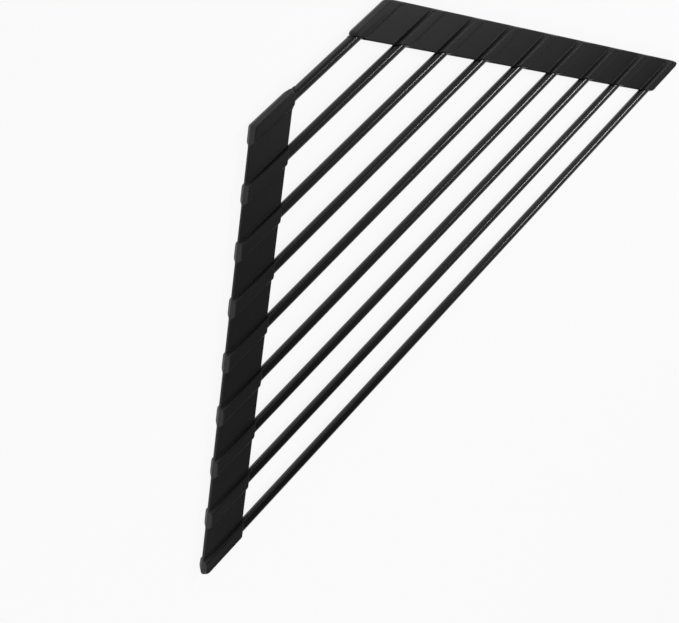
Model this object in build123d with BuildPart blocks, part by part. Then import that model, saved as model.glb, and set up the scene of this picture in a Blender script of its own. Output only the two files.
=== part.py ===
"""Sink corner drying rack: nine parallel steel tubes whose ends sit in two moulded silicone strips.

The strips lie along the two walls of a sink corner, so they cross the tubes at 45 degrees and
each tube is longer than the one before it. A strip is a row of thick sockets, one for each
tube end, joined by thin webs. The webs bend, so the rack rolls up.

Frame: millimetres, X along the tubes, +Y towards the shortest tube and the sink's corner,
+Z up, with the origin under the middle of the rack, on the surface that it lies on.
"""
from build123d import *
import os
from math import atan2, degrees, radians, tan

# The rack as a whole
row_count = 9
row_pitch = 18.4
shortest_span = 40.0
strip_angle = 45.0
strip_run = 28.0

# Tubes
tube_diameter = 5.0
tube_wall = 0.6

# Sockets
socket_height = 7.0
socket_width = 6.8
socket_draft = 0.8
foot_radius = 0.5
socket_floor = 3.0
socket_clearance = 0.05

# Webs
web_thickness = 2.0
web_root = 1.4

# Edges of a strip
rim_chamfer = 0.5
tip_radius = 1.5
cut_overrun = 2.0

# Heights and half widths of a socket's section, from the tube's axis
middle_height = socket_height / 2
half_socket = socket_width / 2
half_shoulder = half_socket - socket_draft
half_web = web_thickness / 2
half_foot = half_socket - socket_draft * half_web / middle_height
half_root = half_foot + web_root
draft_angle = degrees(atan2(socket_draft, middle_height))

# Lengths along and across the rack
edge_slope = 1 / tan(radians(strip_angle))
bore_radius = tube_diameter / 2 + socket_clearance
tube_seat = strip_run - socket_floor - bore_radius * edge_slope
rack_half_depth = row_pitch * (row_count - 1) / 2 + half_socket
rack_half_length = shortest_span / 2 + strip_run + 2 * rack_half_depth * edge_slope

sides = {"left": -1, "right": 1}
middle_plane = Plane.XY.offset(middle_height)


def row_y(row):
    """Where a tube's axis lies across the rack. Row 1 is the shortest tube."""
    return row_pitch * ((row_count + 1) / 2 - row)


def half_span(y):
    """From the rack's middle to the strip's inner edge, at a place across the rack."""
    return shortest_span / 2 + (row_y(1) - y) * edge_slope


def section_plane(y, x=0.0):
    """A plane square to the tubes, centred at mid height: its X is the rack's Y, its Y is up."""
    return Plane(origin=(x, y, middle_height), x_dir=(0, 1, 0), z_dir=(1, 0, 0))


def strip_outline(side):
    """The outline of a whole strip, drafted both ways from the parting line, with its rims chamfered."""
    corners = []
    for y in (rack_half_depth, -rack_half_depth):
        corners.append((side * half_span(y), y))
        corners.insert(0, (side * (half_span(y) + strip_run), y))
    with BuildPart() as outline:
        with BuildSketch(middle_plane):
            with BuildLine():
                Polyline(*corners[::side], close=True)
            make_face()
            fillet(vertices(), tip_radius)
        extrude(amount=middle_height, taper=draft_angle)
        chamfer(faces().sort_by(Axis.Z)[-1].edges(), rim_chamfer)
        mirror(about=middle_plane)
    return outline.part


def half_profile(webs):
    """The upper half of a socket's section: a shoulder and foot where a web joins, else a plain side."""
    points = []
    for way in (-1, 1):
        if way in webs:
            root = [(half_root, 0), (half_root, half_web)]
            reach = root + [(half_foot, half_web), (half_shoulder, middle_height)]
        else:
            reach = [(half_socket + cut_overrun, 0), (half_socket + cut_overrun, middle_height)]
        flank = [(way * across, up) for across, up in reach]
        points += flank if way < 0 else reversed(flank)
    return points


def make_socket(side, row):
    """One socket of a strip, with the roots of its webs and a blind bore for the tube's end."""
    y = row_y(row)
    webs = [way for way, end_row in ((1, 1), (-1, row_count)) if row != end_row]
    bore_start = half_span(y) - bore_radius * edge_slope - cut_overrun
    bore_end = half_span(y) + tube_seat + socket_clearance
    with BuildPart() as socket:
        with BuildSketch(section_plane(y)):
            with BuildLine():
                Polyline(*half_profile(webs), close=True)
            make_face()
            inner = vertices().filter_by(lambda vertex: abs(vertex.X) < half_socket)
            fillet(inner.filter_by_position(Axis.Y, half_web, half_web), foot_radius)
            mirror(about=Plane.XZ)
        extrude(amount=rack_half_length, both=True)
        add(strip_outline(side), mode=Mode.INTERSECT)
        with BuildSketch(section_plane(y, side * bore_start)):
            Circle(bore_radius)
        extrude(amount=side * (bore_end - bore_start), mode=Mode.SUBTRACT)
    return socket


def make_web(side, row):
    """The thin part of a strip between the socket of a row and the next, where the strip bends."""
    with BuildPart() as web:
        with BuildSketch(section_plane((row_y(row) + row_y(row + 1)) / 2)):
            Rectangle(row_pitch - 2 * half_root, web_thickness)
        extrude(amount=rack_half_length, both=True)
        add(strip_outline(side), mode=Mode.INTERSECT)
    return web


def make_tube(row):
    """One tube, which ends square and blind in its two sockets."""
    y = row_y(row)
    half_tube = half_span(y) + tube_seat
    with BuildPart() as tube:
        with BuildSketch(section_plane(y, -half_tube)):
            Circle(tube_diameter / 2)
            Circle(tube_diameter / 2 - tube_wall, mode=Mode.SUBTRACT)
        extrude(amount=2 * half_tube)
    return tube


def save(piece, name):
    piece.part.label = name
    export_step(piece.part, f"parts/{name}.step")


os.makedirs("parts", exist_ok=True)
for row in range(1, row_count + 1):
    save(make_tube(row), f"tube_{row}")
    for name, side in sides.items():
        save(make_socket(side, row), f"{name}_socket_{row}")
        if row < row_count:
            save(make_web(side, row), f"{name}_web_{row}")
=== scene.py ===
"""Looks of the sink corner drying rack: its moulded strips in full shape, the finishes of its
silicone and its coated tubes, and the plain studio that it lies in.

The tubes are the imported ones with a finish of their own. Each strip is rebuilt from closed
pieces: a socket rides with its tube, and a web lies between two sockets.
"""
from math import cos, pi, radians, sin, sqrt, tan

import bmesh
import bpy
from mathutils import Euler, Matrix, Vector


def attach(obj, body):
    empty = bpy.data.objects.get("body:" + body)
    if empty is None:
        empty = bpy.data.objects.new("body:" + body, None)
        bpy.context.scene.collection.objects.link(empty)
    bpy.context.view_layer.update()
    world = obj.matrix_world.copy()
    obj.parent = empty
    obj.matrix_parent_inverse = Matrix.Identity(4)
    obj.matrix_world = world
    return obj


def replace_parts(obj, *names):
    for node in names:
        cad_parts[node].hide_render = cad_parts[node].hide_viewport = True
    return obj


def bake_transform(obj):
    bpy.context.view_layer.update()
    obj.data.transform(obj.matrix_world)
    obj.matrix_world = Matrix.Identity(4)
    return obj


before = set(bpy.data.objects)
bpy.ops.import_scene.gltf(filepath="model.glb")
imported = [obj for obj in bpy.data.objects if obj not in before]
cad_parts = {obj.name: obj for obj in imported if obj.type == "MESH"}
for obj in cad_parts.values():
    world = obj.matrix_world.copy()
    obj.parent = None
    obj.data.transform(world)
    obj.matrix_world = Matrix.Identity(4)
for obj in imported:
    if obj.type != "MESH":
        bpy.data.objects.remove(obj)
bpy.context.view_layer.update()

# Lengths are in millimetres and angles in degrees, until a shape or a place is handed over in metres
MM = 0.001
ROWS = 9
PITCH = 18.4
SHORTEST_SPAN = 40.0
STRIP_RUN = 28.0
BORE_RADIUS = 2.55
BORE_DEPTH = 22.45
SIDES = {"left": -1, "right": 1}

# A strip's section, from the tube's axis at mid height: half heights of a socket and a web, the lean
# of a socket's sides, its half width, the radii of its shoulders and feet, and where a web's root ends
MIDDLE = 3.5
HALF_WEB = 1.0
LEAN = 12.875
HALF_WIDTH = 3.4
SHOULDER_RADIUS = 1.2
FOOT_RADIUS = 0.5
WEB_ROOT = 4.571

# Roundings of its outline: how far a tip's rounding reaches along its walls, then radii
ACUTE_TIP_REACH = 3.62
OBTUSE_TIP_REACH = 0.62
RIM_RADIUS = 0.42
MOUTH_RADIUS = 0.26

# How finely it is stepped
BORE_STEPS = 48
SHOULDER_STEPS = 6
FOOT_STEPS = 7
ACUTE_TIP_STEPS = 9
EDGE_STEPS = 4
BEND_STEPS = 12

# Kinds of face while a piece of the strip is shaped, and how squarely a face of each looks along its axis
SKIN, WALL, BORE, CUT = range(4)
CUT_FACING = 0.99
END_WALL_FACING = 0.9
SIDE_WALL_FACING = 0.5

# The least turn at a tip's edge, at a sharp tip's, at a crease, and at one on the parting line,
# which is an edge that lies within this of mid height
TIP_TURN = 40
ACUTE_TIP_TURN = 90
CREASE_TURN = 42
PARTING_TURN = 20
PARTING_REACH = 1e-5


def row_y(row):
    return PITCH * ((ROWS + 1) / 2 - row)


def half_span(y):
    """How far a strip's inner edge is from the rack's middle, at a place across the rack."""
    return SHORTEST_SPAN / 2 + row_y(1) - y


def web_ends(row):
    """Where the web from this row to the next begins and ends across the rack."""
    return row_y(row) - WEB_ROOT, row_y(row + 1) + WEB_ROOT


# Shaping the strips

def arc(across, up, radius, first, last, steps):
    """Points on an arc round a centre, from one angle to another."""
    angles = [radians(first + (last - first) * step / steps) for step in range(steps + 1)]
    return [(across + radius * cos(a), up + radius * sin(a)) for a in angles]


def flank(webbed):
    """One side of a socket's section, from the middle of its top down to mid height."""
    half_top = HALF_WIDTH - MIDDLE * tan(radians(LEAN))
    if not webbed:
        return [(0.0, MIDDLE), (half_top, MIDDLE), (HALF_WIDTH, 0.0)]
    half_turn = tan(radians(90 - LEAN) / 2)
    shoulder = half_top - SHOULDER_RADIUS * half_turn
    foot = HALF_WIDTH - HALF_WEB * tan(radians(LEAN)) + FOOT_RADIUS * half_turn
    top = arc(shoulder, MIDDLE - SHOULDER_RADIUS, SHOULDER_RADIUS, 90, LEAN, SHOULDER_STEPS)
    bottom = arc(foot, HALF_WEB + FOOT_RADIUS, FOOT_RADIUS, 180 + LEAN, 270, FOOT_STEPS)
    return [(0.0, MIDDLE)] + top + bottom + [(WEB_ROOT, HALF_WEB), (WEB_ROOT, 0.0)]


def socket_outline(row):
    """The upper half of a socket's section across the rack, from its back to its front."""
    back, front = flank(row > 1), flank(row < ROWS)
    middle = row_y(row)
    return [(middle + y, z) for y, z in reversed(back)] + [(middle - y, z) for y, z in front[1:]]


def web_outline(row):
    back, front = web_ends(row)
    return [(back, 0.0), (back, HALF_WEB), (front, HALF_WEB), (front, 0.0)]


def cut_strip(shape, side, upper, bore=None):
    """The stretch of a strip with this section, ended by the strip's drafted walls.

    Where bore is given, it is bored for a tube at that place across the rack.
    """
    def wall_x(y, z, outer):
        inset = abs(z) * tan(radians(LEAN)) * sqrt(2)
        return side * (half_span(y) + (STRIP_RUN - inset if outer else inset))

    def ring(places, outer):
        return [shape.verts.new((wall_x(y, z, outer), y, z)) for y, z in places]

    outline = upper + [(y, -z) for y, z in reversed(upper[1:-1])]
    rings = [ring(outline, outer) for outer in (False, True)]
    for i in range(len(outline)):
        shape.faces.new((rings[0][i - 1], rings[0][i], rings[1][i], rings[1][i - 1]))
    uppers = [verts[:len(upper)] for verts in rings]
    lowers = [verts[len(upper) - 1:] + verts[:1] for verts in rings]
    if bore is not None:
        turns = [2 * pi * step / BORE_STEPS for step in range(BORE_STEPS)]
        places = [(bore + BORE_RADIUS * cos(a), BORE_RADIUS * sin(a)) for a in turns]
        mouth = ring(places, False)
        floor_x = side * (half_span(bore) + BORE_DEPTH)
        end = [shape.verts.new((floor_x, y, z)) for y, z in places]
        for i in range(BORE_STEPS):
            shape.faces.new((mouth[i - 1], mouth[i], end[i], end[i - 1])).material_index = BORE
        shape.faces.new(end).material_index = BORE
        half = BORE_STEPS // 2
        uppers[0] = uppers[0] + mouth[half::-1]
        lowers[0] = lowers[0] + [mouth[0]] + mouth[:half - 1:-1]
    for wall in uppers + lowers:
        shape.faces.new(wall)
    bmesh.ops.recalc_face_normals(shape, faces=shape.faces)


def name_faces(shape):
    """Marks the strip's walls and the planes where its pieces meet, so that the right edges get rounded."""
    end = row_y(1) + HALF_WIDTH - MIDDLE * tan(radians(LEAN))
    for face in shape.faces:
        normal, centre = face.normal, face.calc_center_median()
        if face.material_index == BORE:
            continue
        at_end = abs(normal.y) > END_WALL_FACING and abs(centre.y) > end
        if abs(normal.y) > CUT_FACING:
            face.material_index = CUT
        elif abs(normal.x) > SIDE_WALL_FACING or at_end:
            face.material_index = WALL


def round_edges(shape, chosen, reach, segments):
    edges = [edge for edge in shape.edges if chosen(edge)]
    bmesh.ops.bevel(shape, geom=edges, offset=reach, offset_type="OFFSET", segments=segments, profile=0.5,
                    affect="EDGES", material=-1, clamp_overlap=False)


def between(*kinds):
    """A test for an edge between these two kinds of face."""
    return lambda edge: sorted(face.material_index for face in edge.link_faces) == sorted(kinds)


def is_tip(acute):
    """A test for the upright edges at a strip's sharp, or blunt, tips."""
    def test(edge):
        if not between(WALL, WALL)(edge) or edge.calc_face_angle() < radians(TIP_TURN):
            return False
        return (edge.calc_face_angle() > radians(ACUTE_TIP_TURN)) == acute
    return test


def moulding(name, side, upper, bore=None, bends=0):
    """One closed piece of a strip: cut to shape, tips, rims and mouth rounded, and set on the floor."""
    shape = bmesh.new()
    cut_strip(shape, side, upper, bore)
    name_faces(shape)
    round_edges(shape, is_tip(acute=True), ACUTE_TIP_REACH, ACUTE_TIP_STEPS)
    round_edges(shape, is_tip(acute=False), OBTUSE_TIP_REACH, EDGE_STEPS)
    round_edges(shape, between(SKIN, WALL), RIM_RADIUS, EDGE_STEPS)
    round_edges(shape, between(WALL, BORE), MOUTH_RADIUS, EDGE_STEPS)
    for bend in range(1, bends):
        y = upper[0][0] + (upper[-1][0] - upper[0][0]) * bend / bends
        everything = shape.verts[:] + shape.edges[:] + shape.faces[:]
        bmesh.ops.bisect_plane(shape, geom=everything, plane_co=(0, y, 0), plane_no=(0, 1, 0))
    for edge in shape.edges:
        parting = all(abs(vert.co.z) < PARTING_REACH for vert in edge.verts)
        edge.smooth = edge.calc_face_angle(0) < radians(PARTING_TURN if parting else CREASE_TURN)
    for face in shape.faces:
        face.smooth = True
        face.material_index = 0
    for vert in shape.verts:
        vert.co = (vert.co + Vector((0, 0, MIDDLE))) * MM
    mesh = bpy.data.meshes.new(name)
    shape.to_mesh(mesh)
    shape.free()
    piece = bpy.data.objects.new(name, mesh)
    bpy.context.scene.collection.objects.link(piece)
    piece.modifiers.new("even", "WEIGHTED_NORMAL").keep_sharp = True
    graph = bpy.context.evaluated_depsgraph_get()
    piece.data = bpy.data.meshes.new_from_object(piece.evaluated_get(graph))
    piece.modifiers.clear()
    return piece


# Finishes

class Wire:
    """One output in a finish. Arithmetic on it adds the Math nodes that work it out."""

    def __init__(self, finish, socket):
        self.finish, self.socket = finish, socket

    def math(self, operation, *values):
        return self.finish.node("Math", {"operation": operation}, dict(enumerate(values)))

    def __add__(self, other):
        return self.math("ADD", self, other)

    def __rsub__(self, other):
        return self.math("SUBTRACT", other, self)

    def __mul__(self, other):
        return self.math("MULTIPLY", self, other)

    __radd__ = __add__
    __rmul__ = __mul__


class Finish:
    """A material, or the air round it, that is worked out node by node."""

    def __init__(self, owner):
        self.owner = owner
        owner.use_nodes = True
        self.tree = owner.node_tree
        self.tree.nodes.clear()

    def node(self, kind, settings=None, inputs=None, output=0):
        """Adds a node, makes its settings, fills or links its inputs, and gives one of its outputs."""
        node = self.tree.nodes.new("ShaderNode" + kind)
        for name, value in (settings or {}).items():
            setattr(node, name, value)
        for name, value in (inputs or {}).items():
            if isinstance(value, Wire):
                self.tree.links.new(value.socket, node.inputs[name])
            else:
                node.inputs[name].default_value = value
        return Wire(self, node.outputs[output]) if node.outputs else node

    def place(self):
        return self.node("TexCoord", output="Object")

    def noise(self, size, detail, roughness, stretch=(1, 1, 1)):
        """Cloudy noise from 0 to 1, whose largest spots are about this many millimetres long."""
        place = self.node("Mapping", {}, {"Vector": self.place(), "Scale": stretch})
        return self.node("TexNoise", {}, {"Vector": place, "Scale": 1 / (size * MM), "Detail": detail,
                                          "Roughness": roughness})

    def ramp(self, value, low, high):
        """0 on low's side, 1 on high's side, and smooth between them."""
        return self.node("MapRange", {"interpolation_type": "SMOOTHSTEP"},
                         {"Value": value, "From Min": low, "From Max": high})

    def mix(self, share, first, second):
        """A colour that runs from the first to the second."""
        share_in, first_in, second_in, colour_out = 0, 6, 7, 2
        inputs = {share_in: share, first_in: first, second_in: second}
        return self.node("Mix", {"data_type": "RGBA"}, inputs, colour_out)

    def relief(self, height, depth, under=None):
        """A surface raised by up to this many millimetres where height is 1."""
        inputs = {"Strength": 1.0, "Distance": depth * MM, "Height": height}
        if under:
            inputs["Normal"] = under
        return self.node("Bump", {}, inputs)

    def surface(self, **inputs):
        named = {name.replace("_", " "): value for name, value in inputs.items()}
        self.end(self.node("BsdfPrincipled", {}, named))

    def end(self, shader, kind="OutputMaterial"):
        self.node(kind, {}, {"Surface": shader})


def grey(level, warmth=0.0):
    """A grey, with this share more red and less blue."""
    return (level * (1 + warmth), level, level * (1 - warmth), 1)


def silicone():
    """Matt black moulded silicone: a spark-etched skin, faint clouds where it flowed, and a little lint."""
    finish = Finish(bpy.data.materials.new("moulded_silicone"))
    clouds = finish.noise(size=9, detail=3, roughness=0.55, stretch=(1, 1, 2))
    etched = finish.noise(size=0.35, detail=3, roughness=0.6)
    specks = finish.noise(size=1.1, detail=2, roughness=0.5)
    lint = finish.ramp(specks, low=0.70, high=0.78) * finish.ramp(clouds, low=0.45, high=0.65)
    colour = finish.mix(clouds, grey(level=0.004), grey(level=0.006, warmth=0.01))
    colour = finish.mix(lint * 0.5, colour, grey(level=0.03))
    rough = 0.44 + 0.06 * clouds + 0.06 * etched
    relief = finish.relief(etched, depth=0.01, under=finish.relief(clouds, depth=0.06))
    finish.surface(Base_Color=colour, Roughness=rough, Normal=relief, IOR=1.41)
    return finish.owner


def coating():
    """Black baked coating on steel: satin, with the orange peel and grain of powder that has flowed."""
    finish = Finish(bpy.data.materials.new("baked_coating"))
    peel = finish.noise(size=1.3, detail=2, roughness=0.5)
    grain = finish.noise(size=0.4, detail=3, roughness=0.65)
    worn = finish.noise(size=14, detail=3, roughness=0.6, stretch=(0.4, 1, 1))
    colour = finish.mix(grain, grey(level=0.005), grey(level=0.011, warmth=0.02))
    rough = 0.17 + 0.05 * grain + 0.05 * worn
    relief = finish.relief(grain, depth=0.0012, under=finish.relief(peel, depth=0.003))
    finish.surface(Base_Color=colour, Roughness=rough, Normal=relief, IOR=1.52)
    return finish.owner


# Studio

def light_seen(finish, share=1.0):
    """1 for the rays that see the background itself, and this share in gloss and through glass."""
    kinds = "Is Camera Ray", "Is Glossy Ray", "Is Transmission Ray"
    straight, gloss, through = [finish.node("LightPath", output=kind) for kind in kinds]
    bounced = (gloss + through) * share
    return finish.node("Math", {"operation": "ADD", "use_clamp": True}, {0: straight, 1: bounced})


def floor():
    """A wide pale floor, which runs on into the white air at its horizon and keeps the rack's shadow."""
    glow_share = 0.9
    finish = Finish(bpy.data.materials.new("studio_paper"))
    paper = finish.node("BsdfDiffuse", {}, {"Color": grey(level=0.88)})
    glow = finish.node("Emission", {}, {"Color": grey(level=1.0), "Strength": 1.0})
    seen = light_seen(finish) * glow_share
    finish.end(finish.node("MixShader", {}, {0: seen, 1: paper, 2: glow}))
    shape = bmesh.new()
    bmesh.ops.create_circle(shape, cap_ends=True, cap_tris=True, radius=25, segments=96)
    mesh = bpy.data.meshes.new("studio_floor")
    shape.to_mesh(mesh)
    shape.free()
    mesh.materials.append(finish.owner)
    sheet = bpy.data.objects.new("studio_floor", mesh)
    bpy.context.scene.collection.objects.link(sheet)


def lamp(name, place, width, height, watts):
    """A softbox at a place in metres, turned to shine on the rack's middle."""
    light = bpy.data.lights.new(name, "AREA")
    light.shape, light.size, light.size_y, light.energy = "RECTANGLE", width, height, watts
    box = bpy.data.objects.new(name, light)
    box.location = place
    box.rotation_euler = Vector(place).to_track_quat("Z", "Y").to_euler()
    bpy.context.scene.collection.objects.link(box)


def air():
    """Soft light from all round: dim on the left, brighter on the right, and pale low down behind the rack.

    The camera sees it white all over. Gloss and glass see it white only low down, as they see the
    floor. That white lights nothing.
    """
    dim, right_rise, pale, white = 0.026, 0.28, 0.9, 1
    finish = Finish(bpy.data.worlds.new("studio_air"))
    way = finish.node("TexCoord", output="Generated")
    right, back, up = [finish.node("SeparateXYZ", {}, {0: way}, axis) for axis in "XYZ"]
    level = dim + right_rise * finish.ramp(right, low=0.16, high=0.44)
    behind = finish.ramp(up, low=0.75, high=0.0) * finish.ramp(back, low=-0.3, high=0.3)
    level = level + behind * (pale - level)
    seen = light_seen(finish, share=finish.ramp(up, low=0.30, high=0.10))
    level = level + seen * (white - level)
    finish.end(finish.node("Background", {}, {"Color": level}), "OutputWorld")
    bpy.context.scene.world = finish.owner


def camera():
    """Where the photograph was taken from: close, behind the shortest tube, over the strip at the left."""
    place, turns = (-0.1752, 0.2348, 0.3621), (-18.586, -34.290, -35.629)
    lens = bpy.data.cameras.new("camera")
    lens.lens, lens.sensor_width, lens.clip_start = 49.48, 36.0, 0.01
    view = bpy.data.objects.new("camera", lens)
    view.location = place
    view.rotation_euler = Euler([radians(turn) for turn in turns])
    bpy.context.scene.collection.objects.link(view)
    bpy.context.scene.camera = view


camera()
floor()
air()
lamp("overhead", place=(0.405, 0.015, 0.5), width=0.06, height=0.22, watts=1.3)
lamp("side", place=(-0.95, -0.5, 0.9), width=1.1, height=0.8, watts=9)

rubber, coat = silicone(), coating()
for name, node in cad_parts.items():
    if name.startswith("tube"):
        node.data.materials.clear()
        node.data.materials.append(coat)
for row in range(1, ROWS + 1):
    for name, side in SIDES.items():
        socket = moulding(f"{name}_grip_{row}", side, socket_outline(row), bore=row_y(row))
        socket.data.materials.append(rubber)
        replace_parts(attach(socket, f"row_{row}"), f"{name}_socket_{row}")
        if row < ROWS:
            web = moulding(f"{name}_flex_{row}", side, web_outline(row), bends=BEND_STEPS)
            web.data.materials.append(rubber)
            start, end = [(0, y * MM, MIDDLE * MM) for y in web_ends(row)]
            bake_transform(web)
            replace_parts(web, f"{name}_web_{row}")

bpy.context.scene.view_settings.view_transform = "Standard"
